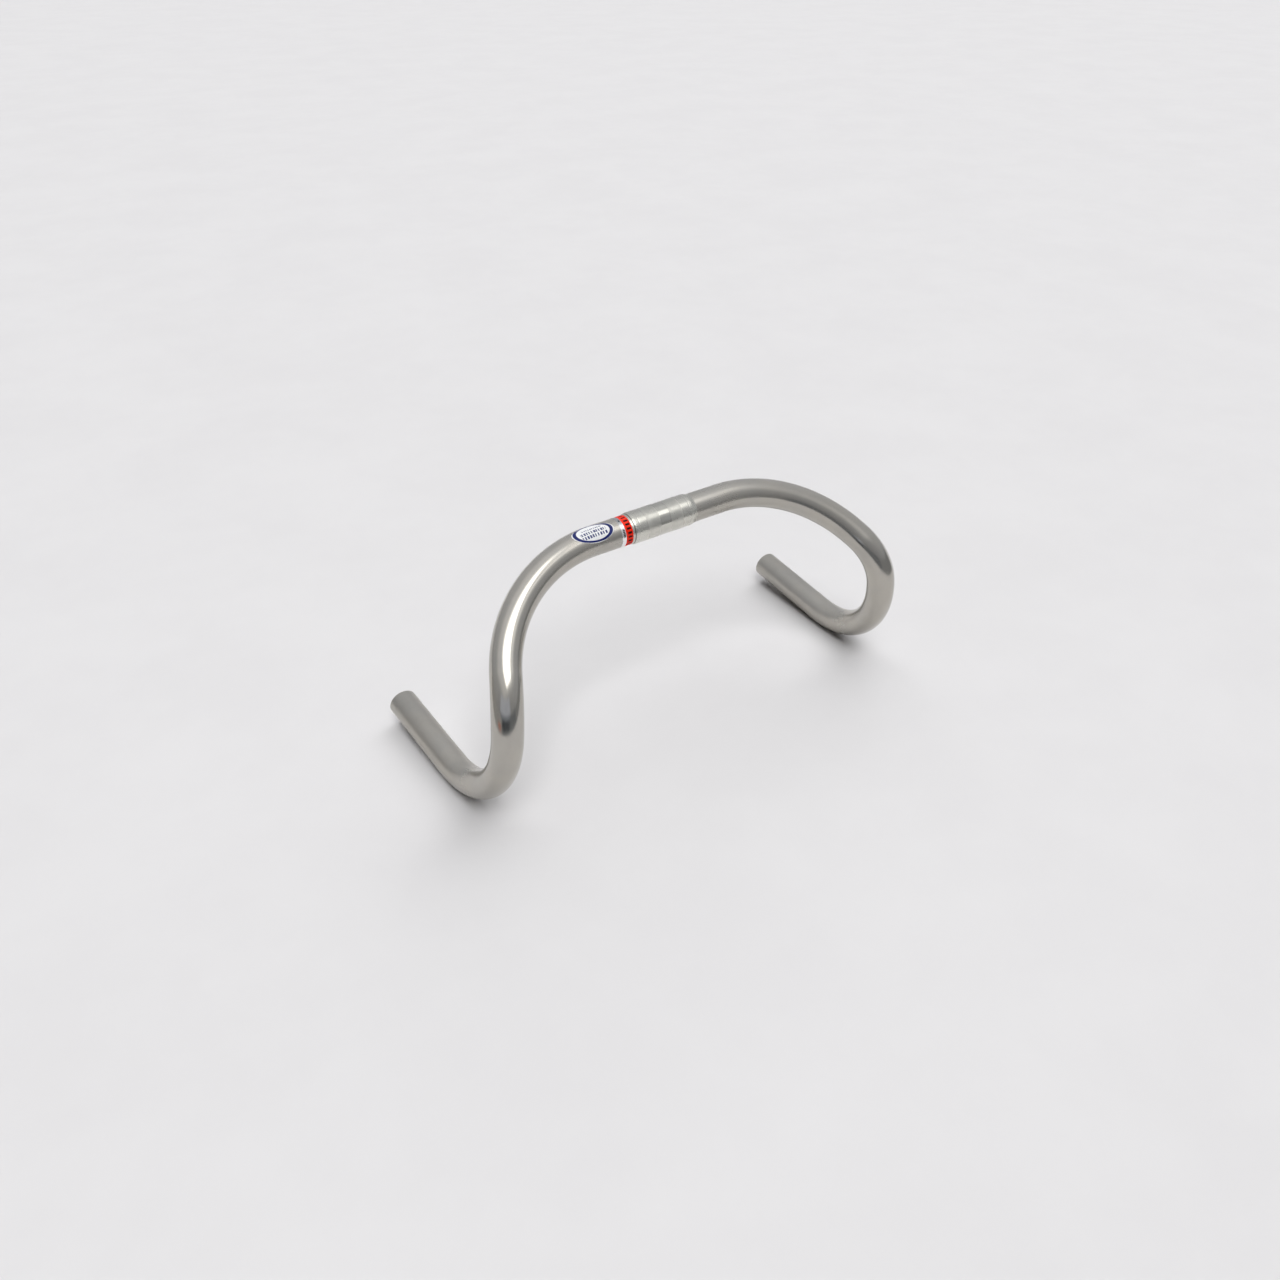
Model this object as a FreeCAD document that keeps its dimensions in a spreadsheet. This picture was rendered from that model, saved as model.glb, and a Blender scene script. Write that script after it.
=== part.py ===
import FreeCAD, Part
import math
import os

import Sketcher
from FreeCAD import Placement, Rotation, Vector

# Drop handlebar: one bent tube, a clamp sleeve pressed over its middle and two
# stickers.  Millimetres.  The origin is the middle of the clamp sleeve, +X runs
# along the clamp axis, -Y is forward and +Z is up.

os.makedirs("parts", exist_ok=True)
doc = FreeCAD.newDocument("DropHandlebar")

DIMENSIONS = {
    # tube
    "tube_diameter": 23.8,
    "tube_wall": 2.0,
    "top_half_length": 61.0,
    "shoulder_radius": 120.0,
    "shoulder_angle": 68.0,
    "shoulder_tilt": 38.5,
    "ramp_radius": 52.0,
    "ramp_angle": 49.0,
    "ramp_roll": 79.5,
    "hook_radius": 76.0,
    "hook_angle": 97.0,
    "hook_roll": 26.0,
    "grip_length": 87.0,
    # clamp sleeve
    "sleeve_diameter": 26.0,
    "sleeve_length": 61.5,
    "sleeve_taper_length": 4.0,
    "sleeve_lip_height": 0.2,
    # stickers
    "foil_thickness": 0.1,
    "band_width": 10.0,
    "band_gap": 0.1,
    "band_seam": 1.5,
    "oval_length": 35.0,
    "oval_chord": 17.0,
    "oval_centre": 63.0,
    "oval_lean": 22.0,
    "oval_twist": 6.0,
    "oval_cutter_height": 20.0,
}

sheet = doc.addObject("Spreadsheet::Sheet", "Dimensions")
for row, (alias, value) in enumerate(DIMENSIONS.items(), start=1):
    sheet.set("A%d" % row, alias)
    sheet.set("B%d" % row, str(value))
    sheet.setAlias("B%d" % row, alias)
doc.recompute()


def size(alias):
    """Value of one driving dimension."""
    return float(sheet.get(alias))


def bind(feature, **expressions):
    """Drive properties of a feature from the dimension sheet."""
    for name, expression in expressions.items():
        feature.setExpression(name, expression)
    return feature


def bends():
    """Bends from the clamp outwards: radius, angle and roll of the bend plane."""
    return [
        (size("shoulder_radius"), math.radians(size("shoulder_angle")), math.radians(size("shoulder_tilt"))),
        (size("ramp_radius"), math.radians(size("ramp_angle")), math.radians(size("ramp_roll"))),
        (size("hook_radius"), math.radians(size("hook_angle")), math.radians(size("hook_roll"))),
    ]


def right_half():
    """Centreline points of the right half: three per bend, then the bar end."""
    position = Vector(size("top_half_length"), 0, 0)
    tangent = Vector(1, 0, 0)
    inward = Vector(0, -1, 0)
    arcs = []
    for radius, angle, roll in bends():
        inward = inward * math.cos(roll) + tangent.cross(inward) * math.sin(roll)
        points = []
        for share in (0.0, 0.5, 1.0):
            turn = angle * share
            ahead = tangent * (radius * math.sin(turn))
            aside = inward * (radius * (1 - math.cos(turn)))
            points.append(position + ahead + aside)
        arcs.append(points)
        position = points[-1]
        tangent, inward = (
            tangent * math.cos(angle) + inward * math.sin(angle),
            inward * math.cos(angle) - tangent * math.sin(angle),
        )
    return arcs, position, tangent


def mirrored(point):
    """The same point on the left half."""
    return Vector(-point.x, point.y, point.z)


ARCS, GRIP_START, GRIP_DIRECTION = right_half()
BAR_END = GRIP_START + GRIP_DIRECTION * size("grip_length")

edges = [Part.makeLine(mirrored(BAR_END), mirrored(GRIP_START))]
for first, middle, last in reversed(ARCS):
    edges.append(Part.Arc(mirrored(last), mirrored(middle), mirrored(first)).toShape())
edges.append(Part.makeLine(mirrored(ARCS[0][0]), ARCS[0][0]))
for first, middle, last in ARCS:
    edges.append(Part.Arc(first, middle, last).toShape())
edges.append(Part.makeLine(GRIP_START, BAR_END))

centreline = doc.addObject("Part::Feature", "Centreline")
centreline.Shape = Part.Wire(edges)

inwards = mirrored(GRIP_DIRECTION) * -1
left_end_frame = Placement(mirrored(BAR_END), Rotation(Vector(0, 0, 1), inwards))


def swept(name, radius_expression):
    """Round bar of one radius that follows the whole centreline."""
    ring = doc.addObject("Part::Circle", name + "_profile")
    ring.Placement = left_end_frame
    bind(ring, Radius=radius_expression)
    sweep = doc.addObject("Part::Sweep", name)
    sweep.Sections = [ring]
    sweep.Spine = (centreline, [])
    sweep.Solid = True
    sweep.Frenet = False
    return sweep


# Handlebar tube: outside sweep less the bore, open at both ends.
outside = swept("tube_outside", "Dimensions.tube_diameter / 2")
inside = swept("tube_inside", "Dimensions.tube_diameter / 2 - Dimensions.tube_wall")
tube = doc.addObject("Part::Cut", "handlebar_tube")
tube.Base = outside
tube.Tool = inside


def origin_plane(body, role):
    """Datum plane of a body's own origin."""
    return next(item for item in body.Origin.OriginFeatures if item.Role == role)


def turned(name, corners):
    """Body turned about the X axis from a closed outline of bound corners.

    Each corner is a pair of expressions, its X position and its radius.
    """
    body = doc.addObject("PartDesign::Body", name)
    sketch = body.newObject("Sketcher::SketchObject", name + "_outline")
    sketch.AttachmentSupport = [(origin_plane(body, "XZ_Plane"), "")]
    sketch.MapMode = "FlatFace"
    count = len(corners)
    start = Vector(0, size("tube_diameter"), 0)
    for index in range(count):
        turn = 2 * math.pi * index / count
        after = 2 * math.pi * (index + 1) / count
        here = start + Vector(math.sin(turn), math.cos(turn), 0)
        there = start + Vector(math.sin(after), math.cos(after), 0)
        sketch.addGeometry(Part.LineSegment(here, there), False)
    for index in range(count):
        sketch.addConstraint(Sketcher.Constraint("Coincident", index, 2, (index + 1) % count, 1))
    for index, (along, radius) in enumerate(corners):
        across = sketch.addConstraint(Sketcher.Constraint("DistanceX", -1, 1, index, 1, 1.0))
        up = sketch.addConstraint(Sketcher.Constraint("DistanceY", -1, 1, index, 1, 1.0))
        sketch.setExpression("Constraints[%d]" % across, along)
        sketch.setExpression("Constraints[%d]" % up, radius)
    revolution = body.newObject("PartDesign::Revolution", name + "_turning")
    revolution.Profile = sketch
    revolution.ReferenceAxis = (sketch, ["H_Axis"])
    revolution.Midplane = True
    body.Tip = revolution
    return body, revolution


# Clamp sleeve: bored to the tube, parallel in the middle, a long shallow taper
# and a thin square lip at each end.
SLEEVE_END = "Dimensions.sleeve_length / 2"
SLEEVE_SHOULDER = SLEEVE_END + " - Dimensions.sleeve_taper_length"
TUBE_RADIUS = "Dimensions.tube_diameter / 2"
LIP_RADIUS = TUBE_RADIUS + " + Dimensions.sleeve_lip_height"
SLEEVE_RADIUS = "Dimensions.sleeve_diameter / 2"
sleeve, sleeve_turning = turned(
    "clamp_sleeve",
    [
        ("-(%s)" % SLEEVE_END, TUBE_RADIUS),
        ("-(%s)" % SLEEVE_END, LIP_RADIUS),
        ("-(%s)" % SLEEVE_SHOULDER, SLEEVE_RADIUS),
        (SLEEVE_SHOULDER, SLEEVE_RADIUS),
        (SLEEVE_END, LIP_RADIUS),
        (SLEEVE_END, TUBE_RADIUS),
    ],
)
sleeve_turning.Angle = 360

# Band sticker: foil wrapped round the tube beside the sleeve's left end, its two
# ends stopping short of each other underneath the bar.
FOIL_RADIUS = TUBE_RADIUS + " + Dimensions.foil_thickness"
BAND_RIGHT = "-(%s + Dimensions.band_gap)" % SLEEVE_END
BAND_LEFT = "-(%s + Dimensions.band_gap + Dimensions.band_width)" % SLEEVE_END
band, band_turning = turned(
    "band_label",
    [
        (BAND_LEFT, TUBE_RADIUS),
        (BAND_LEFT, FOIL_RADIUS),
        (BAND_RIGHT, FOIL_RADIUS),
        (BAND_RIGHT, TUBE_RADIUS),
    ],
)
bind(band_turning, Angle="360deg * (1 - Dimensions.band_seam / (pi * Dimensions.tube_diameter))")

# Oval sticker: the part of a foil skin on the tube that lies inside an upright
# elliptical cutter, leaned forward and twisted a little on the tube.
foil = swept("foil_outside", FOIL_RADIUS)
skin = doc.addObject("Part::Cut", "foil_skin")
skin.Base = foil
skin.Tool = outside

lean = Rotation(Vector(1, 0, 0), size("oval_lean"))
twist = Rotation(Vector(0, 0, 1), -size("oval_twist"))
ellipse = doc.addObject("Part::Ellipse", "oval_outline")
ellipse.Placement = Placement(Vector(-size("oval_centre"), 0, 0), lean * twist)
bind(ellipse, MajorRadius="Dimensions.oval_length / 2", MinorRadius="Dimensions.oval_chord / 2")
cutter = doc.addObject("Part::Extrusion", "oval_cutter")
cutter.Base = ellipse
cutter.DirMode = "Normal"
cutter.Solid = True
bind(cutter, LengthFwd="Dimensions.oval_cutter_height")
oval = doc.addObject("Part::MultiCommon", "oval_label")
oval.Shapes = [skin, cutter]

doc.recompute()

PIECES = [tube, sleeve, band, oval]
for piece in doc.Objects:
    if "Invalid" in piece.State or "Error" in piece.State:
        raise RuntimeError("%s: %s" % (piece.Name, piece.State))
for piece in PIECES:
    piece.Label = piece.Name
    shape = piece.Shape
    if shape.isNull() or not shape.isValid() or len(shape.Solids) != 1:
        raise RuntimeError("%s is not one valid solid" % piece.Label)
    shape.exportStep("parts/%s.step" % piece.Label)
    print(piece.Label, "%.1f mm3" % shape.Volume)
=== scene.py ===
import math

import bmesh
import bpy
import numpy as np
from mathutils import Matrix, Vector, noise


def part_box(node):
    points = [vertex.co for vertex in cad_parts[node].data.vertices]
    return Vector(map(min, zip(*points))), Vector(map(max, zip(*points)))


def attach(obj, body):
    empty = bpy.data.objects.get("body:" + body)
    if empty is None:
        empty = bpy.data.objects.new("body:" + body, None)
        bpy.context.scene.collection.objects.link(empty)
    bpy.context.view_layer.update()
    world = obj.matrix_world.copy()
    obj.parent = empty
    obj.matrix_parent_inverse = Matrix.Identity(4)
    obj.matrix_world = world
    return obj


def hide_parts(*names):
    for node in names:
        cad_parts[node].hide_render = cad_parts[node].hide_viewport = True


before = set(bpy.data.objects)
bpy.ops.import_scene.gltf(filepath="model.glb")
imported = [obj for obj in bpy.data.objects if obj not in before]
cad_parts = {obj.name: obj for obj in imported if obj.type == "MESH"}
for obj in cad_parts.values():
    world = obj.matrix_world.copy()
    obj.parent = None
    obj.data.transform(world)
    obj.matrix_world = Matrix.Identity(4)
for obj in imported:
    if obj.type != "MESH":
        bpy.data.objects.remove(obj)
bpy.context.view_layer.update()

MM = 0.001
STEPS_PER_MM = 0.7  # centreline points

# ---------------------------------------------------------------- dimensions
TUBE_R = 11.9 * MM
BORE_R = 9.9 * MM
TOP_HALF = 61.0 * MM
BENDS = (  # radius, angle, roll of the bend plane
    (120.0 * MM, math.radians(68.0), math.radians(38.5)),
    (52.0 * MM, math.radians(49.0), math.radians(79.5)),
    (76.0 * MM, math.radians(97.0), math.radians(26.0)),
)
GRIP = 87.0 * MM
END_BREAK = 0.35 * MM

SLEEVE_R = 13.0 * MM
SLEEVE_HALF = 30.75 * MM
SLEEVE_TAPER = 4.0 * MM
SLEEVE_LIP = 0.2 * MM

TUBE_COLUMNS = 144
BAND_COLUMNS = 144
OVAL_COLUMNS = 96

KNURL_ZONE = (5.0 * MM, 16.5 * MM)
KNURL_TEETH = 66
KNURL_DEPTH = 0.05 * MM
POLISHED_TO = 24.0 * MM
GROOVE_WIDTH = 0.6 * MM
GROOVE_DEPTH = 0.12 * MM
ROLLED_DEPTH = 0.07 * MM
ROLLED_SCALE = 1.1 * MM

BAND_RIGHT = -30.85 * MM
BAND_WIDTH = 10.0 * MM
BAND_SEAM = 1.5 * MM
BAND_EDGE = 0.12 * MM  # silver rim to the right of the red field
BAND_RED = 6.35 * MM
FOIL = 0.1 * MM
BLOCK_PITCH = 3.4 * MM
DASH_PITCH = 1.25 * MM
DASH_GROUPS = ((math.radians(14.5), 1.1 * MM), (math.radians(68.0), 3.4 * MM))  # middle, half arc

OVAL_S = -63.0 * MM
OVAL_LEAN = math.radians(22.0)
OVAL_TWIST = math.radians(6.0)
OVAL_HALF_LENGTH = 17.5 * MM
OVAL_HALF_CHORD = 8.5 * MM
OVAL_HALF_ARC = TUBE_R * math.asin(OVAL_HALF_CHORD / TUBE_R)
OVAL_RING = (0.785, 0.95)  # shares of the half axes
OVAL_PRINT_ENDS = (0.74, 0.77)
OVAL_ROWS = (  # middle, height, half length, block pitch, darkness
    (3.1 * MM, 1.5 * MM, 8.5 * MM, 1.6 * MM, 0.75),
    (0.0 * MM, 2.4 * MM, 11.0 * MM, 2.1 * MM, 0.95),
    (-3.4 * MM, 2.6 * MM, 11.0 * MM, 2.3 * MM, 1.0),
)

FLOOR_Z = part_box("handlebar_tube")[0][2]  # the bar stands on its lowest points


# ---------------------------------------------------------------- centreline
def half_line():
    """Right half of the centreline: distance, point, tangent, up and front."""
    s = 0.0
    p = np.zeros(3)
    t = np.array([1.0, 0.0, 0.0])
    n = np.array([0.0, -1.0, 0.0])
    up = np.array([0.0, 0.0, 1.0])
    rows = []

    def straight(length):
        nonlocal s, p
        count = max(2, int(length / MM * STEPS_PER_MM))
        for k in range(count):
            d = length * k / count
            rows.append((s + d, p + t * d, t, up, np.cross(t, up)))
        p = p + t * length
        s += length

    straight(TOP_HALF)
    for radius, angle, roll in BENDS:
        n = n * math.cos(roll) + np.cross(t, n) * math.sin(roll)
        b = np.cross(t, n)
        count = max(2, int(radius * angle / MM * STEPS_PER_MM))
        un, ub, ut = up @ n, up @ b, up @ t
        for k in range(count + 1):
            a = angle * k / count
            ta = t * math.cos(a) + n * math.sin(a)
            na = n * math.cos(a) - t * math.sin(a)
            pa = p + t * (radius * math.sin(a)) + n * (radius * (1 - math.cos(a)))
            ua = na * un + b * ub + ta * ut
            if k < count:
                rows.append((s + radius * a, pa, ta, ua, np.cross(ta, ua)))
        s += radius * angle
        p, t, n, up = pa, ta, na, ua
    straight(GRIP)
    rows.append((s, p, t, up, np.cross(t, up)))
    return rows


RIGHT = half_line()
HALF_LENGTH = RIGHT[-1][0]
MIRROR = np.array([-1.0, 1.0, 1.0])
LINE = [(-s, p * MIRROR, -t * MIRROR, u * MIRROR, f * MIRROR) for s, p, t, u, f in RIGHT[:0:-1]] + RIGHT
LINE_S = np.array([row[0] for row in LINE])
LINE_P, LINE_T, LINE_U, LINE_F = (np.array([row[k] for row in LINE]) for k in (1, 2, 3, 4))


def along(table, s):
    """A centreline quantity at distances s."""
    return np.stack([np.interp(s, LINE_S, table[:, k]) for k in range(3)], axis=-1)


def unit(v):
    """Vectors brought to length 1."""
    return v / np.linalg.norm(v, axis=-1, keepdims=True)


def on_bar(s, angle, radius):
    """Points at distance s along the bar, angle from the top towards the front, and radius."""
    s, angle, radius = np.broadcast_arrays(s, angle, radius)
    up = unit(along(LINE_U, s))
    front = unit(along(LINE_F, s))
    outward = np.cos(angle)[..., None] * up + np.sin(angle)[..., None] * front
    return along(LINE_P, s) + radius[..., None] * outward


def straightened(s, angle, radius):
    """Where the same points would lie if the bar were straight."""
    s, angle, radius = np.broadcast_arrays(s, angle, radius)
    return np.stack([s, radius * np.sin(angle), radius * np.cos(angle)], axis=-1)


# ---------------------------------------------------------------- mesh helpers
def grid_faces(rows, columns, wrap_rows, wrap_columns):
    """Quads of a grid of vertices, wrapped either way."""
    r = np.arange(rows if wrap_rows else rows - 1)
    c = np.arange(columns if wrap_columns else columns - 1)
    r0, c0 = np.meshgrid(r, c, indexing="ij")
    r1, c1 = (r0 + 1) % rows, (c0 + 1) % columns
    quads = [r0 * columns + c0, r1 * columns + c0, r1 * columns + c1, r0 * columns + c1]
    return np.stack(quads, axis=-1).reshape(-1, 4).tolist()


def new_piece(name, points, faces, material, attributes, sharp_degrees):
    """A smooth-shaded solid riding on the bar, with vector attributes on its points."""
    mesh = bpy.data.meshes.new(name)
    mesh.from_pydata(points.reshape(-1, 3).tolist(), [], faces)
    for key, values in attributes.items():
        layer = mesh.attributes.new(key, "FLOAT_VECTOR", "POINT")
        layer.data.foreach_set("vector", np.ascontiguousarray(values, dtype=np.float32).reshape(-1))
    shell = bmesh.new()
    shell.from_mesh(mesh)
    bmesh.ops.recalc_face_normals(shell, faces=shell.faces)
    shell.to_mesh(mesh)
    shell.free()
    mesh.polygons.foreach_set("use_smooth", [True] * len(mesh.polygons))
    mesh.set_sharp_from_angle(angle=math.radians(sharp_degrees))
    mesh.materials.append(material)
    piece = bpy.data.objects.new(name, mesh)
    bpy.context.collection.objects.link(piece)
    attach(piece, "root")
    return piece


# ---------------------------------------------------------------- node helpers
class Nodes:
    """Short calls for building one material's nodes."""

    def __init__(self, name):
        self.material = bpy.data.materials.new(name)
        self.material.use_nodes = True
        self.tree = self.material.node_tree
        self.shader = self.tree.nodes["Principled BSDF"]

    def put(self, socket, value):
        if isinstance(value, bpy.types.NodeSocket):
            self.tree.links.new(value, socket)
        elif value is not None:
            socket.default_value = value

    def set(self, **inputs):
        """Shader inputs by name, with _ for a space."""
        for key, value in inputs.items():
            self.put(self.shader.inputs[key.replace("_", " ")], value)

    def math(self, operation, a, b=None):
        node = self.tree.nodes.new("ShaderNodeMath")
        node.operation = operation
        for socket, value in zip(node.inputs, (a, b)):
            self.put(socket, value)
        return node.outputs[0]

    def attribute(self, name):
        node = self.tree.nodes.new("ShaderNodeAttribute")
        node.attribute_name = name
        return node.outputs["Vector"]

    def split(self, vector):
        node = self.tree.nodes.new("ShaderNodeSeparateXYZ")
        self.put(node.inputs[0], vector)
        return node.outputs

    def join(self, x, y):
        node = self.tree.nodes.new("ShaderNodeCombineXYZ")
        for socket, value in zip(node.inputs, (x, y)):
            self.put(socket, value)
        return node.outputs[0]

    def scaled(self, vector, scale):
        node = self.tree.nodes.new("ShaderNodeVectorMath")
        node.operation = "MULTIPLY"
        self.put(node.inputs[0], vector)
        node.inputs[1].default_value = scale
        return node.outputs[0]

    def length(self, vector):
        node = self.tree.nodes.new("ShaderNodeVectorMath")
        node.operation = "LENGTH"
        self.put(node.inputs[0], vector)
        return node.outputs["Value"]

    def noise(self, vector, scale, detail, roughness):
        node = self.tree.nodes.new("ShaderNodeTexNoise")
        self.put(node.inputs["Vector"], vector)
        node.inputs["Scale"].default_value = scale
        node.inputs["Detail"].default_value = detail
        node.inputs["Roughness"].default_value = roughness
        return node.outputs["Fac"]

    def chance(self, x, y):
        """A fixed random number for each whole pair x, y."""
        node = self.tree.nodes.new("ShaderNodeTexWhiteNoise")
        node.noise_dimensions = "2D"
        self.put(node.inputs["Vector"], self.join(x, y))
        return node.outputs["Value"]

    def ramp(self, value, low, high, to_low=0.0, to_high=1.0):
        node = self.tree.nodes.new("ShaderNodeMapRange")
        node.interpolation_type = "SMOOTHSTEP"
        settings = {
            "Value": value,
            "From Min": low,
            "From Max": high,
            "To Min": to_low,
            "To Max": to_high,
        }
        for key, item in settings.items():
            self.put(node.inputs[key], item)
        return node.outputs["Result"]

    def between(self, value, low, high, soft):
        """1 where value lies between low and high, with soft edges."""
        rise = self.ramp(value, low - soft, low + soft)
        fall = self.ramp(value, high - soft, high + soft, 1.0, 0.0)
        return self.math("MULTIPLY", rise, fall)

    def mix(self, factor, a, b):
        node = self.tree.nodes.new("ShaderNodeMix")
        node.data_type = "RGBA"
        self.put(node.inputs["Factor"], factor)
        self.put(node.inputs[6], a)
        self.put(node.inputs[7], b)
        return node.outputs[2]

    def shade(self, colour, factor):
        """A colour times a grey factor."""
        node = self.tree.nodes.new("ShaderNodeVectorMath")
        node.operation = "SCALE"
        self.put(node.inputs[0], colour)
        self.put(node.inputs["Scale"], factor)
        return node.outputs[0]

    def bump(self, height, distance):
        node = self.tree.nodes.new("ShaderNodeBump")
        node.inputs["Distance"].default_value = distance
        self.put(node.inputs["Height"], height)
        return node.outputs["Normal"]


# ---------------------------------------------------------------- handlebar tube
BESIDE_SLEEVE = (40.0 * MM, 130.0 * MM)  # distances from the bar's middle
GRIP_DULLS = (280.0 * MM, 370.0 * MM)
GRIP_DARKENS = (370.0 * MM, 450.0 * MM)
HAIRLINE_STRETCH = (18.0, 1500.0, 1500.0)  # fine lines that run along the bar
LATHE_RINGS_PER_M = 9000.0
BORE_STEP = 3  # the bore has one ring for every three outside


def tube_metal():
    """Satin anodised aluminium, darker and duller on the grips, duller beside the sleeve, with painted
    shade in the bore.
    """
    n = Nodes("anodised_tube")
    place = n.attribute("straight")
    s, front, up = n.split(place)
    away = n.math("ABSOLUTE", s)
    radius = n.length(n.join(front, up))
    cloud = n.noise(place, scale=38.0, detail=4.0, roughness=0.55)
    smudge = n.noise(n.scaled(place, (0.6, 1.0, 1.0)), scale=150.0, detail=5.0, roughness=0.6)
    hairline = n.noise(n.scaled(place, HAIRLINE_STRETCH), scale=1.0, detail=3.0, roughness=0.6)
    speck = n.noise(place, scale=2600.0, detail=2.0, roughness=0.5)

    warm = (0.478, 0.455, 0.409, 1)
    cool = (0.457, 0.440, 0.403, 1)
    painted_bore_shade = (0.20, 0.19, 0.18, 1)
    colour = n.mix(n.ramp(cloud, 0.36, 0.66), warm, cool)
    colour = n.shade(colour, n.ramp(smudge, 0.3, 0.75, to_low=1.02, to_high=0.97))
    # Darker towards the grip ends: partly a duller finish, partly painted shade for the contact shadow
    # the grips mirror.
    colour = n.shade(colour, n.ramp(away, *GRIP_DARKENS, to_low=1.0, to_high=0.94))
    # Painted shade in the bore: its inside is coloured dark grey.
    in_bore = n.ramp(radius, BORE_R + 0.05 * MM, BORE_R + 0.45 * MM, to_low=1.0, to_high=0.0)
    colour = n.mix(in_bore, colour, painted_bore_shade)

    dull = n.ramp(away, *GRIP_DULLS, to_low=0.165, to_high=0.33)
    dull = n.math("ADD", dull, n.ramp(away, *BESIDE_SLEEVE, to_low=0.12, to_high=0.0))
    dull = n.math("ADD", dull, n.ramp(smudge, 0.3, 0.75, to_low=-0.015, to_high=0.03))
    dull = n.math("ADD", dull, n.ramp(hairline, 0.3, 0.7, to_low=-0.012, to_high=0.012))
    dull = n.math("ADD", dull, n.math("MULTIPLY", in_bore, 0.25))
    n.set(Base_Color=colour, Metallic=1.0, Roughness=dull)

    # Turning marks, which only show on the end faces.
    rings = n.join(n.math("MULTIPLY", radius, LATHE_RINGS_PER_M), 0.0)
    lathe = n.noise(rings, scale=1.0, detail=2.0, roughness=0.5)
    at_end = n.ramp(away, HALF_LENGTH - 2 * END_BREAK, HALF_LENGTH - 0.5 * END_BREAK)
    height = n.math("ADD", n.math("MULTIPLY", hairline, 0.8), n.math("MULTIPLY", speck, 0.35))
    height = n.math("ADD", height, n.math("MULTIPLY", n.math("MULTIPLY", lathe, at_end), 8.0))
    n.set(Normal=n.bump(height, 0.0016 * MM))
    return n.material


def make_tube():
    """Open bent tube with deburred ends."""
    end = HALF_LENGTH
    inside = np.abs(LINE_S) < end - 1 * MM
    outer = LINE_S[inside]
    inner = outer[::BORE_STEP]
    rings = [(-end, BORE_R + END_BREAK), (-end, TUBE_R - END_BREAK), (-end + END_BREAK, TUBE_R)]
    rings += [(s, TUBE_R) for s in outer]
    rings += [(end - END_BREAK, TUBE_R), (end, TUBE_R - END_BREAK), (end, BORE_R + END_BREAK)]
    rings += [(end - END_BREAK, BORE_R)]
    rings += [(s, BORE_R) for s in inner[::-1]]
    rings += [(-end + END_BREAK, BORE_R)]
    s, radius = (np.array(values)[:, None] for values in zip(*rings))
    angle = np.linspace(0, 2 * math.pi, TUBE_COLUMNS, endpoint=False)[None, :]
    faces = grid_faces(len(rings), TUBE_COLUMNS, True, True)
    flat = {"straight": straightened(s, angle, radius)}
    piece = new_piece("tube", on_bar(s, angle, radius), faces, tube_metal(), flat, 30)
    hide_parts("handlebar_tube")


# ---------------------------------------------------------------- clamp sleeve
TURNING_STRETCH = (5200.0, 60.0, 60.0)  # fine lines that run round the sleeve
MIDDLE_TO_OUTER = (10.0 * MM, 20.0 * MM)
OUTER_DULLS = (11.0 * MM, 19.0 * MM)
# Where a line of painted shade runs round the sleeve beside the band.
SHADE_LINE = (1.4 * MM, 2.3 * MM)  # from the sleeve's left end
DENT_BIAS = 0.15
DENT_DEEPEST = 0.6


def sleeve_metal():
    """Brighter bare aluminium: polished middle, matte knurled rings, duller outer rings, with painted
    light and shade by ring and by side.
    """
    n = Nodes("bare_sleeve")
    place = n.attribute("straight")
    s, front, up = n.split(place)
    away = n.math("ABSOLUTE", s)
    knurled = n.between(away, KNURL_ZONE[0], KNURL_ZONE[1], 0.35 * MM)
    rolled = n.ramp(away, POLISHED_TO, POLISHED_TO + 1.0 * MM)
    cloud = n.noise(place, scale=160.0, detail=4.0, roughness=0.6)
    turned = n.noise(n.scaled(place, TURNING_STRETCH), scale=1.0, detail=3.0, roughness=0.6)
    speck = n.noise(place, scale=3200.0, detail=2.0, roughness=0.5)

    bright = (0.680, 0.670, 0.612, 1)
    soft_grey = (0.632, 0.622, 0.568, 1)
    colour = n.mix(n.ramp(cloud, 0.32, 0.7), bright, soft_grey)
    # Painted light and shade by ring: the knurled rings a little brighter, the middle darker than the
    # outer rings, standing in for how each ring reflects the room.
    colour = n.shade(colour, n.math("ADD", 1.0, n.math("MULTIPLY", knurled, 0.03)))
    colour = n.shade(colour, n.ramp(away, *MIDDLE_TO_OUTER, to_low=0.90, to_high=0.97))

    # Painted light and shade: darker on the upper rear side, brighter underneath and in front.
    rearward = n.math("SUBTRACT", n.math("MULTIPLY", up, 0.8), n.math("MULTIPLY", front, 0.6))
    painted_side_shade = n.ramp(rearward, -0.7 * SLEEVE_R, 0.6 * SLEEVE_R, to_low=1.05, to_high=0.80)
    colour = n.shade(colour, painted_side_shade)

    # A line of painted shade beside the band.
    grime_and_shade = n.between(s, -SLEEVE_HALF + SHADE_LINE[0], -SLEEVE_HALF + SHADE_LINE[1], 0.15 * MM)
    colour = n.shade(colour, n.math("SUBTRACT", 1.0, n.math("MULTIPLY", grime_and_shade, 0.65)))

    dull = n.ramp(cloud, 0.3, 0.7, to_low=0.08, to_high=0.12)
    dull = n.math("ADD", dull, n.ramp(away, *OUTER_DULLS, to_low=0.0, to_high=0.16))
    dull = n.math("ADD", dull, n.math("MULTIPLY", knurled, 0.19))
    dented = n.ramp(speck, 0.35, 0.65, to_low=-0.02, to_high=0.10)
    dull = n.math("ADD", dull, n.math("MULTIPLY", rolled, dented))
    n.set(Base_Color=colour, Metallic=1.0, Roughness=dull)
    height = n.math("ADD", turned, n.math("MULTIPLY", speck, 0.6))
    n.set(Normal=n.bump(height, 0.0022 * MM))
    return n.material


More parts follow.
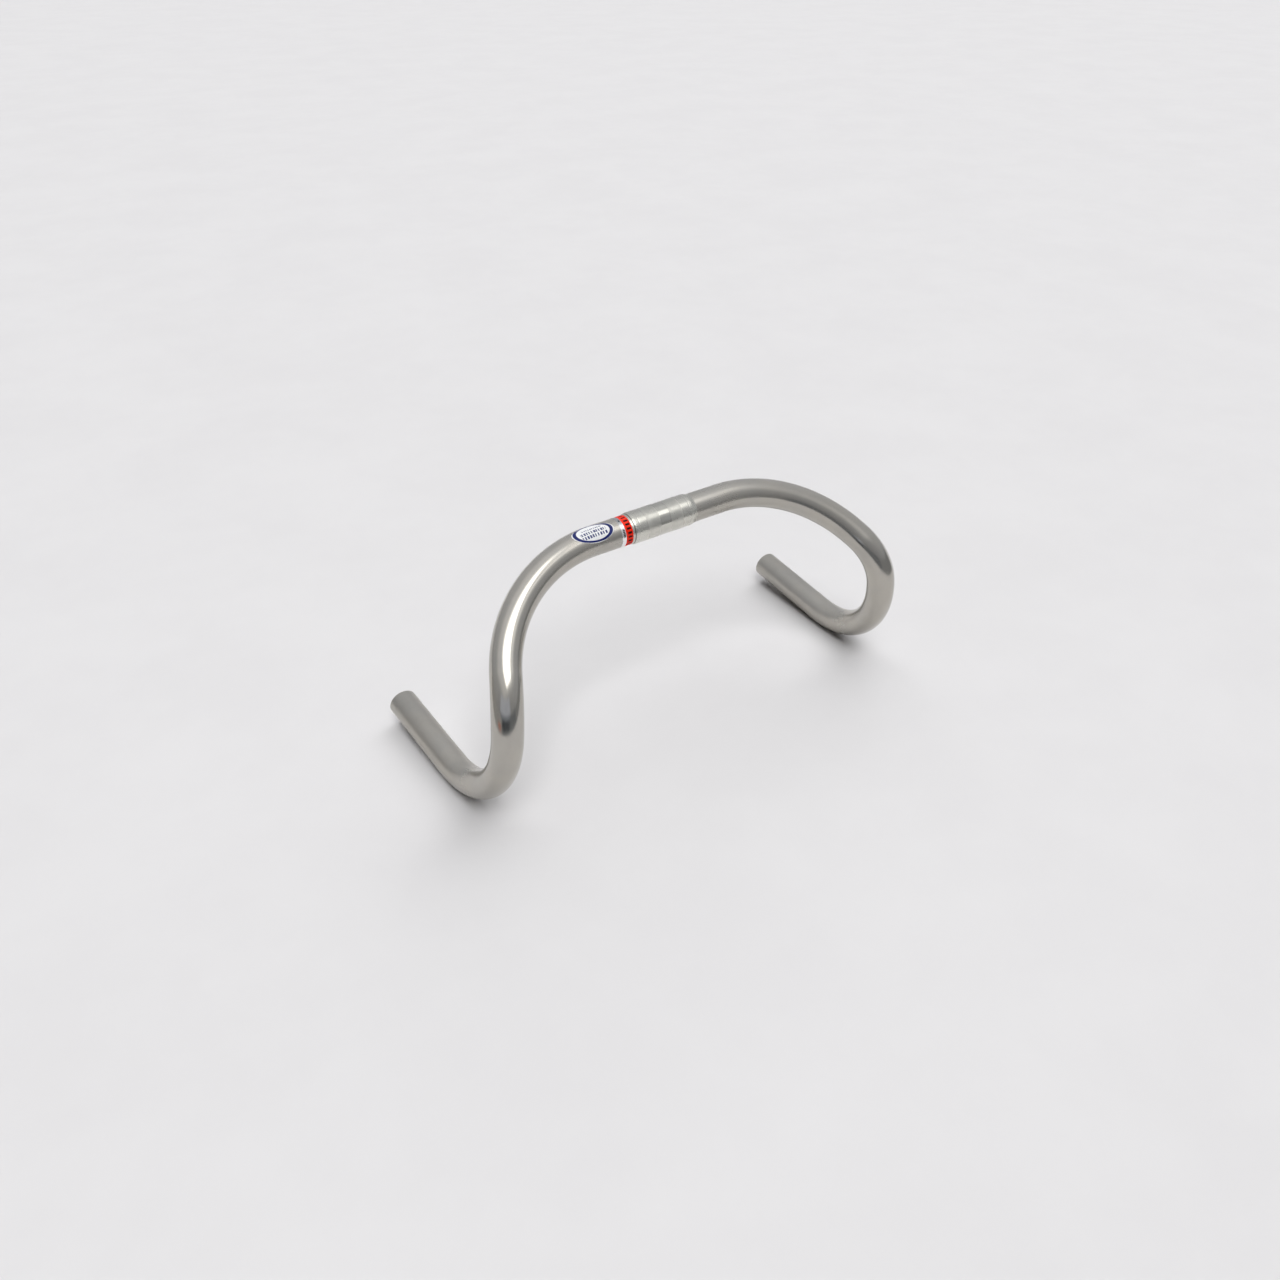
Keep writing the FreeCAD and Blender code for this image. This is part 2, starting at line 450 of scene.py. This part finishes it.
def sleeve_rings():
    """Ring positions along the sleeve: close where it is knurled, grooved or rolled."""
    fine, coarse = 0.2 * MM, 1.5 * MM
    knurl_from, knurl_to = KNURL_ZONE
    half = np.concatenate([
        np.arange(0, knurl_from - fine, coarse),
        np.arange(knurl_from - fine, knurl_to + fine, fine),
        np.arange(knurl_to + coarse / 2, POLISHED_TO - 2 * GROOVE_WIDTH, coarse),
        np.arange(POLISHED_TO - 2 * GROOVE_WIDTH, SLEEVE_HALF - fine / 2, fine),
        [SLEEVE_HALF],
    ])
    return np.concatenate([-half[:0:-1], half])


def sleeve_radius(s, angle):
    """Outside of the sleeve: taper, groove, diamond knurl and rolled end, all cut inwards."""
    away = np.abs(s)
    taper_start = SLEEVE_HALF - SLEEVE_TAPER
    body = np.interp(away, [taper_start, SLEEVE_HALF], [SLEEVE_R, TUBE_R + SLEEVE_LIP])

    pitch = 2 * math.pi * SLEEVE_R / KNURL_TEETH
    across, spiral = angle * KNURL_TEETH / 2, math.pi * s / pitch
    diamonds = (np.sin(across + spiral) * np.sin(across - spiral)) ** 2
    in_knurl = (away > KNURL_ZONE[0]) & (away < KNURL_ZONE[1])
    body = body - in_knurl * KNURL_DEPTH * (1 - diamonds)

    groove = np.clip(1 - ((away - POLISHED_TO) / (GROOVE_WIDTH / 2)) ** 2, 0, 1)
    body = body - GROOVE_DEPTH * groove

    last_ring = SLEEVE_HALF - 0.3 * MM
    rolled = np.clip((away - POLISHED_TO - GROOVE_WIDTH) / MM, 0, 1) * (away < last_ring)
    spots = straightened(s, angle, np.full_like(body, SLEEVE_R)) / ROLLED_SCALE
    places = zip(spots.reshape(-1, 3), rolled.reshape(-1))
    dents = [noise.noise(Vector(p)) if k else 0.0 for p, k in places]
    dents = np.clip(np.array(dents).reshape(body.shape) + DENT_BIAS, 0, DENT_DEEPEST)
    return body - ROLLED_DEPTH * rolled * dents / DENT_DEEPEST


def make_sleeve():
    """Sleeve round the middle of the bar."""
    columns = 6 * KNURL_TEETH
    outside = sleeve_rings()
    s = np.concatenate([outside, [SLEEVE_HALF, -SLEEVE_HALF]])[:, None]
    angle = np.linspace(0, 2 * math.pi, columns, endpoint=False)[None, :]
    s, angle = np.broadcast_arrays(s, angle)
    radius = sleeve_radius(s, angle)
    radius[-2:] = TUBE_R
    faces = grid_faces(len(s), columns, True, True)
    flat = {"straight": straightened(s, angle, radius)}
    piece = new_piece("sleeve", on_bar(s, angle, radius), faces, sleeve_metal(), flat, 35)
    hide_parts("clamp_sleeve")


# ---------------------------------------------------------------- band sticker
BLOCK_SPAN = (1.0 * MM, 4.6 * MM)  # from the red field's right edge
DASH_SPAN = (7.1 * MM, 8.8 * MM)  # from the band's right edge
# Where the foil goes from painted shade at the top to full brightness in front.
FOIL_PAINTED_SHADE = (2.0 * MM, 14.0 * MM)  # round the tube, from its top towards the front


def band_print():
    """Silver foil with painted shade over its top and rear, with a red field, plain blocks and dashes.
    """
    n = Nodes("band_foil")
    s, front, up = n.split(n.attribute("straight"))
    arc = n.math("MULTIPLY", n.math("ARCTAN2", front, up), TUBE_R)
    x = n.math("SUBTRACT", BAND_RIGHT, s)
    place = n.join(x, arc)
    fibre = n.noise(place, scale=900.0, detail=4.0, roughness=0.6)
    wear = n.noise(place, scale=260.0, detail=4.0, roughness=0.6)

    column = n.math("FLOOR", n.math("DIVIDE", arc, BLOCK_PITCH))
    inside = n.math("FRACT", n.math("DIVIDE", arc, BLOCK_PITCH))
    width = n.ramp(n.chance(column, 1.0), 0.0, 1.0, to_low=0.42, to_high=0.66)
    block = n.math("MULTIPLY", n.ramp(inside, 0.06, 0.10), n.math("LESS_THAN", inside, width))
    tall = n.between(x, BAND_EDGE + BLOCK_SPAN[0], BAND_EDGE + BLOCK_SPAN[1], 0.08 * MM)
    ink = n.math("MULTIPLY", block, tall)

    fresh_red = (0.93, 0.030, 0.007, 1)
    worn_red = (0.80, 0.020, 0.006, 1)
    red = n.mix(n.ramp(wear, 0.35, 0.7), fresh_red, worn_red)
    red = n.mix(ink, red, (0.012, 0.004, 0.004, 1))
    silver = n.mix(n.ramp(fibre, 0.35, 0.65), (0.90, 0.90, 0.90, 1), (0.95, 0.95, 0.95, 1))
    # Painted shade on the foil's top and rear.
    silver = n.shade(silver, n.ramp(arc, *FOIL_PAINTED_SHADE, to_low=0.46, to_high=1.0))

    dash = n.between(n.math("FRACT", n.math("DIVIDE", arc, DASH_PITCH)), 0.08, 0.86, 0.04)
    dashes = n.math("MULTIPLY", dash, n.between(x, *DASH_SPAN, 0.1 * MM))
    groups = (n.between(arc, TUBE_R * a - w, TUBE_R * a + w, 0.1 * MM) for a, w in DASH_GROUPS)
    marks = n.math("MULTIPLY", dashes, n.math("ADD", *groups))
    silver = n.mix(marks, silver, (0.02, 0.02, 0.022, 1))

    is_red = n.between(x, BAND_EDGE, BAND_EDGE + BAND_RED, 0.06 * MM)
    bare = n.math("MULTIPLY", n.math("SUBTRACT", 1.0, is_red), n.math("SUBTRACT", 1.0, marks))
    dull = n.ramp(fibre, 0.3, 0.7, to_low=0.20, to_high=0.27)
    dull = n.math("ADD", dull, n.math("MULTIPLY", is_red, 0.15))
    dull = n.math("ADD", dull, n.math("MULTIPLY", n.math("ADD", ink, marks), 0.15))
    n.set(Base_Color=n.mix(is_red, silver, red), Metallic=bare, Specular_IOR_Level=0.12)
    n.set(Roughness=dull)
    n.set(Normal=n.bump(n.math("ADD", fibre, n.math("MULTIPLY", ink, 2.0)), 0.004 * MM))
    return n.material


def make_band():
    """Foil band round the bar, with a gap at its seam and a softened top edge."""
    left, right, edge = BAND_RIGHT - BAND_WIDTH, BAND_RIGHT, FOIL / 2
    rings = [(left, TUBE_R), (left, TUBE_R + edge), (left + edge, TUBE_R + FOIL)]
    rings += [(s, TUBE_R + FOIL) for s in np.linspace(left, right, 12)[1:-1]]
    rings += [(right - edge, TUBE_R + FOIL), (right, TUBE_R + edge), (right, TUBE_R)]
    s, radius = (np.array(values)[:, None] for values in zip(*rings))
    half_turn = math.pi - BAND_SEAM / (2 * TUBE_R)
    angle = np.linspace(-half_turn, half_turn, BAND_COLUMNS)[None, :]
    faces = grid_faces(len(rings), BAND_COLUMNS, True, False)
    for column in (0, BAND_COLUMNS - 1):
        faces.append([row * BAND_COLUMNS + column for row in range(len(rings))])
    flat = {"straight": straightened(s, angle, radius)}
    piece = new_piece("band", on_bar(s, angle, radius), faces, band_print(), flat, 30)
    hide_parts("band_label")


# ---------------------------------------------------------------- oval sticker
def oval_print():
    """White vinyl with a blue ring and three rows of plain blocks."""
    n = Nodes("oval_vinyl")
    u, v, _ = n.split(n.attribute("face"))
    s, front, up = n.split(n.attribute("straight"))
    sideways = n.math("SUBTRACT", s, OVAL_S)
    back = n.math("MULTIPLY", n.math("SUBTRACT", OVAL_LEAN, n.math("ARCTAN2", front, up)), TUBE_R)
    place = n.join(u, v)
    fibre = n.noise(place, scale=1100.0, detail=4.0, roughness=0.6)
    grime_and_shade = n.noise(place, scale=220.0, detail=4.0, roughness=0.6)
    out = n.length(n.join(n.math("DIVIDE", u, OVAL_HALF_LENGTH), n.math("DIVIDE", v, OVAL_HALF_ARC)))
    ring = n.between(out, *OVAL_RING, 0.008)

    ink = None
    for row, (middle, height, reach, pitch, darkness) in enumerate(OVAL_ROWS):
        cell = n.math("FLOOR", n.math("DIVIDE", sideways, pitch))
        part = n.math("FRACT", n.math("DIVIDE", sideways, pitch))
        width = n.ramp(n.chance(cell, row + 3.0), 0.0, 1.0, to_low=0.50, to_high=0.90)
        across = n.math("MULTIPLY", n.ramp(part, 0.05, 0.10), n.math("LESS_THAN", part, width))
        line = n.between(back, middle - height / 2, middle + height / 2, 0.08 * MM)
        limit = n.between(sideways, -reach, reach, 0.1 * MM)
        bar = n.math("MULTIPLY", n.math("MULTIPLY", across, line), n.math("MULTIPLY", limit, darkness))
        ink = bar if ink is None else n.math("MAXIMUM", ink, bar)
    ink = n.math("MULTIPLY", ink, n.ramp(out, *OVAL_PRINT_ENDS, to_low=1.0, to_high=0.0))

    white = n.mix(n.ramp(grime_and_shade, 0.4, 0.75), (0.86, 0.87, 0.88, 1), (0.80, 0.81, 0.82, 1))
    navy = n.mix(fibre, (0.003, 0.009, 0.100, 1), (0.006, 0.017, 0.14, 1))
    colour = n.mix(ink, white, (0.020, 0.035, 0.15, 1))
    colour = n.mix(ring, colour, navy)
    printed = n.math("MAXIMUM", ring, ink)
    dull = n.ramp(fibre, 0.3, 0.7, to_low=0.32, to_high=0.42)
    dull = n.math("SUBTRACT", dull, n.math("MULTIPLY", printed, 0.05))
    n.set(Base_Color=colour, Roughness=dull)
    n.set(Specular_IOR_Level=0.25, Coat_Weight=0.05, Coat_Roughness=0.2)
    n.set(Normal=n.bump(n.math("ADD", fibre, n.math("MULTIPLY", printed, 1.5)), 0.003 * MM))
    return n.material


def make_oval():
    """Elliptical sticker laid on the tube, leaned forward and twisted."""
    # Rings as (share of the half axes, lift): out over the top, down the edge, back underneath.
    rows = [(rho, FOIL) for rho in np.linspace(0.07, 0.98, 14)] + [(1.0, FOIL * 0.45), (1.0, 0.0)]
    rows += [(rho, 0.0) for rho in np.linspace(0.93, 0.07, 14)]
    rho, lift = (np.array(values)[:, None] for values in zip(*rows))
    turn = np.linspace(0, 2 * math.pi, OVAL_COLUMNS, endpoint=False)[None, :]
    u = OVAL_HALF_LENGTH * rho * np.cos(turn)
    v = OVAL_HALF_CHORD * rho * np.sin(turn)
    u = np.append(u.reshape(-1), [0.0, 0.0])
    v = np.append(v.reshape(-1), [0.0, 0.0])
    lift = np.append(np.broadcast_to(lift, (len(rows), OVAL_COLUMNS)).reshape(-1), [FOIL, 0.0])
    s = OVAL_S + (u * math.cos(OVAL_TWIST) + v * math.sin(OVAL_TWIST))
    back = v * math.cos(OVAL_TWIST) - u * math.sin(OVAL_TWIST)
    angle = OVAL_LEAN - np.arcsin(back / TUBE_R)
    points = on_bar(s, angle, TUBE_R + lift)
    face = np.stack([u, TUBE_R * np.arcsin(v / TUBE_R), 0 * u], axis=-1)
    layers = {"face": face, "straight": straightened(s, angle, TUBE_R + lift)}

    faces = grid_faces(len(rows), OVAL_COLUMNS, False, True)
    top, under = len(rows) * OVAL_COLUMNS, len(rows) * OVAL_COLUMNS + 1
    last = (len(rows) - 1) * OVAL_COLUMNS
    for k in range(OVAL_COLUMNS):
        after = (k + 1) % OVAL_COLUMNS
        faces.append([top, k, after])
        faces.append([under, last + after, last + k])
    piece = new_piece("oval", points, faces, oval_print(), layers, 30)
    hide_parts("oval_label")


make_tube()
make_sleeve()
make_band()
make_oval()


# ---------------------------------------------------------------- studio
FLOOR_REACH = 20.0
DIFFUSER_X = (-0.9, 0.8)
DIFFUSER_Y = (-0.9, 0.6)
DIFFUSER_HEIGHT = 0.45
DIFFUSER_COLOUR = (1.0, 0.992, 0.975, 1)
DIFFUSER_PATCHES = (  # x range, edge, y range, edge, strength
    ((-0.33, 0.06), 0.05, (-0.43, -0.05), 0.07, 3.2),
    ((0.17, 0.36), 0.05, (-0.34, -0.06), 0.06, 1.25),
    ((-0.72, 0.40), 0.18, (-0.60, 0.26), 0.18, 0.27),
)

MIDDLE = (0.0, 0.0)
LEFT_HOOK = (-0.19, -0.06)
WARM_HEIGHTS = (FLOOR_Z + 0.045, FLOOR_Z + 0.10)
CARDS = (  # name, brightness, colour, centre, radius, azimuths, heights
    ("room_left", 0.40, (1.0, 1.0, 1.0, 1), MIDDLE, 0.66, (-124, -62), (FLOOR_Z, 0.02)),
    ("room_front", 0.215, (0.94, 0.985, 1.07, 1), MIDDLE, 0.66, (-62, 12), (FLOOR_Z, 0.05)),
    ("room_right", 0.30, (0.985, 1.0, 1.03, 1), MIDDLE, 0.66, (12, 78), (FLOOR_Z, 0.02)),
    ("figure", 0.09, (0.88, 0.96, 1.10, 1), LEFT_HOOK, 0.40, (-62, -14), (FLOOR_Z + 0.06, -0.012)),
    ("figure_middle", 0.30, (0.90, 0.97, 1.11, 1), LEFT_HOOK, 0.40, (-70, -8), (-0.012, 0.035)),
    ("figure_pale", 0.60, (0.93, 0.98, 1.12, 1), LEFT_HOOK, 0.40, (-74, -4), (0.035, 0.24)),
    ("figure_warm", 1.0, (0.56, 0.25, 0.20, 1), LEFT_HOOK, 0.39, (-86, -67), WARM_HEIGHTS),
)

WORLD_SLOPE = (0.10, 0.12, 0.23)
WORLD_LEVEL = 0.418
WORLD_COLOUR = (0.985, 1.0, 1.045, 1)
SUNS = (  # name, where its light comes from, strength, spread in degrees
    ("key", (-0.10, -0.24, 0.45), 1.7, 31),
    ("side", (0.50, 0.20, 0.55), 0.65, 50),
    ("back", (0.28, 0.30, 0.75), 1.78, 80),
)
SCREEN_STEPS = 24


def stage_sheet(name, points, faces, material, glossy_only=False):
    """A floor, card or light sheet that isn't part of the object."""
    mesh = bpy.data.meshes.new(name)
    mesh.from_pydata(points, [], faces)
    mesh.materials.append(material)
    sheet = bpy.data.objects.new(name, mesh)
    bpy.context.collection.objects.link(sheet)
    if glossy_only:
        sheet.visible_camera = sheet.visible_diffuse = sheet.visible_shadow = False
        sheet.visible_transmission = sheet.visible_volume_scatter = False


def rectangle(x, y, z):
    """Corners of a level rectangle, counter-clockwise from above."""
    return [(x[0], y[0], z), (x[1], y[0], z), (x[1], y[1], z), (x[0], y[1], z)]


def paper():
    """Matt white background paper."""
    n = Nodes("background_paper")
    place = n.tree.nodes.new("ShaderNodeTexCoord").outputs["Object"]
    broad = n.noise(place, scale=6.0, detail=4.0, roughness=0.55)
    fine = n.noise(place, scale=30.0, detail=3.0, roughness=0.5)
    mottle = n.math("ADD", broad, n.math("MULTIPLY", fine, 0.35))
    shadow_white = (0.699, 0.691, 0.701, 1)
    clear_white = (0.721, 0.714, 0.723, 1)
    n.set(Base_Color=n.mix(n.ramp(mottle, 0.4, 0.95), shadow_white, clear_white))
    n.set(Roughness=0.8, Specular_IOR_Level=0.15)
    return n.material


def glow(name, strength, colour):
    """Emission added to whatever lies behind; strength builds the nodes for its brightness."""
    n = Nodes(name)
    n.tree.nodes.remove(n.shader)
    emission = n.tree.nodes.new("ShaderNodeEmission")
    clear = n.tree.nodes.new("ShaderNodeBsdfTransparent")
    both = n.tree.nodes.new("ShaderNodeAddShader")
    emission.inputs["Color"].default_value = colour
    n.put(emission.inputs["Strength"], strength(n))
    n.put(both.inputs[0], emission.outputs[0])
    n.put(both.inputs[1], clear.outputs[0])
    n.put(n.tree.nodes["Material Output"].inputs["Surface"], both.outputs[0])
    return n.material


def overhead_glow(n):
    """Brightness across the overhead diffuser: one strong patch, one weak strip and a halo."""
    x, y, _ = n.split(n.tree.nodes.new("ShaderNodeTexCoord").outputs["Object"])
    total = None
    for x_range, x_soft, y_range, y_soft, strength in DIFFUSER_PATCHES:
        patch = n.math("MULTIPLY", n.between(x, *x_range, x_soft), n.between(y, *y_range, y_soft))
        patch = n.math("MULTIPLY", patch, strength)
        total = patch if total is None else n.math("ADD", total, patch)
    return total


def dark_card(name, strength, colour):
    """Opaque card that only shows in reflections."""
    n = Nodes(name)
    n.tree.nodes.remove(n.shader)
    emission = n.tree.nodes.new("ShaderNodeEmission")
    emission.inputs["Color"].default_value = colour
    n.put(emission.inputs["Strength"], strength)
    n.put(n.tree.nodes["Material Output"].inputs["Surface"], emission.outputs[0])
    return n.material


def screen(centre, radius, azimuths, heights, material, name):
    """Upright curved card round a centre, between two azimuths (0 is the front, + is right)."""
    points, faces = [], []
    for k in range(SCREEN_STEPS + 1):
        a = math.radians(azimuths[0] + (azimuths[1] - azimuths[0]) * k / SCREEN_STEPS)
        for z in heights:
            points.append((centre[0] + radius * math.sin(a), centre[1] - radius * math.cos(a), z))
    for k in range(SCREEN_STEPS):
        faces.append([2 * k, 2 * k + 2, 2 * k + 3, 2 * k + 1])
    stage_sheet(name, points, faces, material, glossy_only=True)


def room_light():
    """Soft grey world, brighter towards the back right and above, that lights nothing matt."""
    world = bpy.data.worlds.new("room")
    bpy.context.scene.world = world
    world.use_nodes = True
    tree = world.node_tree
    background = tree.nodes["Background"]
    direction = tree.nodes.new("ShaderNodeTexCoord").outputs["Generated"]
    slope = tree.nodes.new("ShaderNodeVectorMath")
    slope.operation = "DOT_PRODUCT"
    tree.links.new(direction, slope.inputs[0])
    slope.inputs[1].default_value = WORLD_SLOPE
    level = tree.nodes.new("ShaderNodeMath")
    tree.links.new(slope.outputs["Value"], level.inputs[0])
    level.inputs[1].default_value = WORLD_LEVEL
    tree.links.new(level.outputs[0], background.inputs["Strength"])
    background.inputs["Color"].default_value = WORLD_COLOUR
    world.cycles_visibility.diffuse = False


def soft_sun(name, towards, strength, spread):
    """Wide even light for the floor and matt surfaces, kept out of the metal's reflections."""
    light = bpy.data.lights.new(name, "SUN")
    light.energy = strength
    light.angle = math.radians(spread)
    sun = bpy.data.objects.new(name, light)
    sun.rotation_euler = Vector(towards).to_track_quat("Z", "Y").to_euler()
    sun.visible_glossy = False
    bpy.context.collection.objects.link(sun)


floor_range = (-FLOOR_REACH, FLOOR_REACH)
stage_sheet("floor", rectangle(floor_range, floor_range, FLOOR_Z), [(0, 1, 2, 3)], paper())
diffuser_corners = rectangle(DIFFUSER_X, DIFFUSER_Y, DIFFUSER_HEIGHT)
diffuser = glow("diffuser", overhead_glow, DIFFUSER_COLOUR)
stage_sheet("diffuser", diffuser_corners, [(0, 1, 2, 3)], diffuser, glossy_only=True)
for name, brightness, colour, centre, radius, azimuths, heights in CARDS:
    screen(centre, radius, azimuths, heights, dark_card(name, brightness, colour), name)
room_light()
for name, towards, strength, spread in SUNS:
    soft_sun(name, towards, strength, spread)

# ---------------------------------------------------------------- camera
LENS = 30.31453125  # mm, for a sensor 36 mm wide
SENSOR = 36.0
AZIMUTH = math.radians(-34.242)
ELEVATION = math.radians(35.627)
DISTANCE = 0.95102
TARGET = Vector((-0.00039, 0.02419, -0.13266))
camera_data = bpy.data.cameras.new("camera")
camera_data.sensor_width = SENSOR
camera_data.lens = LENS
camera = bpy.data.objects.new("camera", camera_data)
level = math.cos(ELEVATION)
away = Vector((math.sin(AZIMUTH) * level, -math.cos(AZIMUTH) * level, math.sin(ELEVATION)))
camera.location = TARGET + away * DISTANCE
camera.rotation_euler = away.to_track_quat("Z", "Y").to_euler()
bpy.context.collection.objects.link(camera)
bpy.context.scene.camera = camera
bpy.context.scene.view_settings.view_transform = "Standard"
